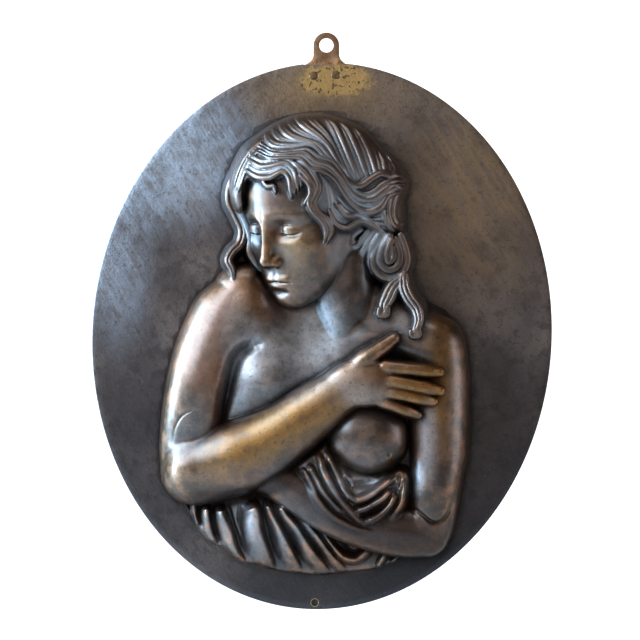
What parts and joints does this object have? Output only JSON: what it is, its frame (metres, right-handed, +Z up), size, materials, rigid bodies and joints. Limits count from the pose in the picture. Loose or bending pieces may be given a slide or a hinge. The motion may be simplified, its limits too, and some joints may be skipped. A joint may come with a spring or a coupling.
{
  "type": "relief plaque",
  "caption": "Oval bronze wall relief of a half-length draped figure with crossed arms, cast in one with its plate and hung from a small riveted brass ring strap.",
  "frame": {"origin": "on the back of the hanging strap, 12 mm below the centre of its ring hole, where the strap meets the wall", "axes": "+Z up, -Y out of the relief's front, +X to the right as the front is seen"},
  "size_m": [0.3362, 0.0705, 0.422],
  "materials": {
    "bronze": "dark brown patinated bronze, rubbed golden on the high places",
    "strap_brass": "aged brass, dull",
    "rivet_brass": "aged brass, dull"
  },
  "bodies": {
    "root": {"plaque": "bronze", "hanger": "strap_brass", "rivet_left": "rivet_brass", "rivet_right": "rivet_brass"}
  },
  "joints": []
}
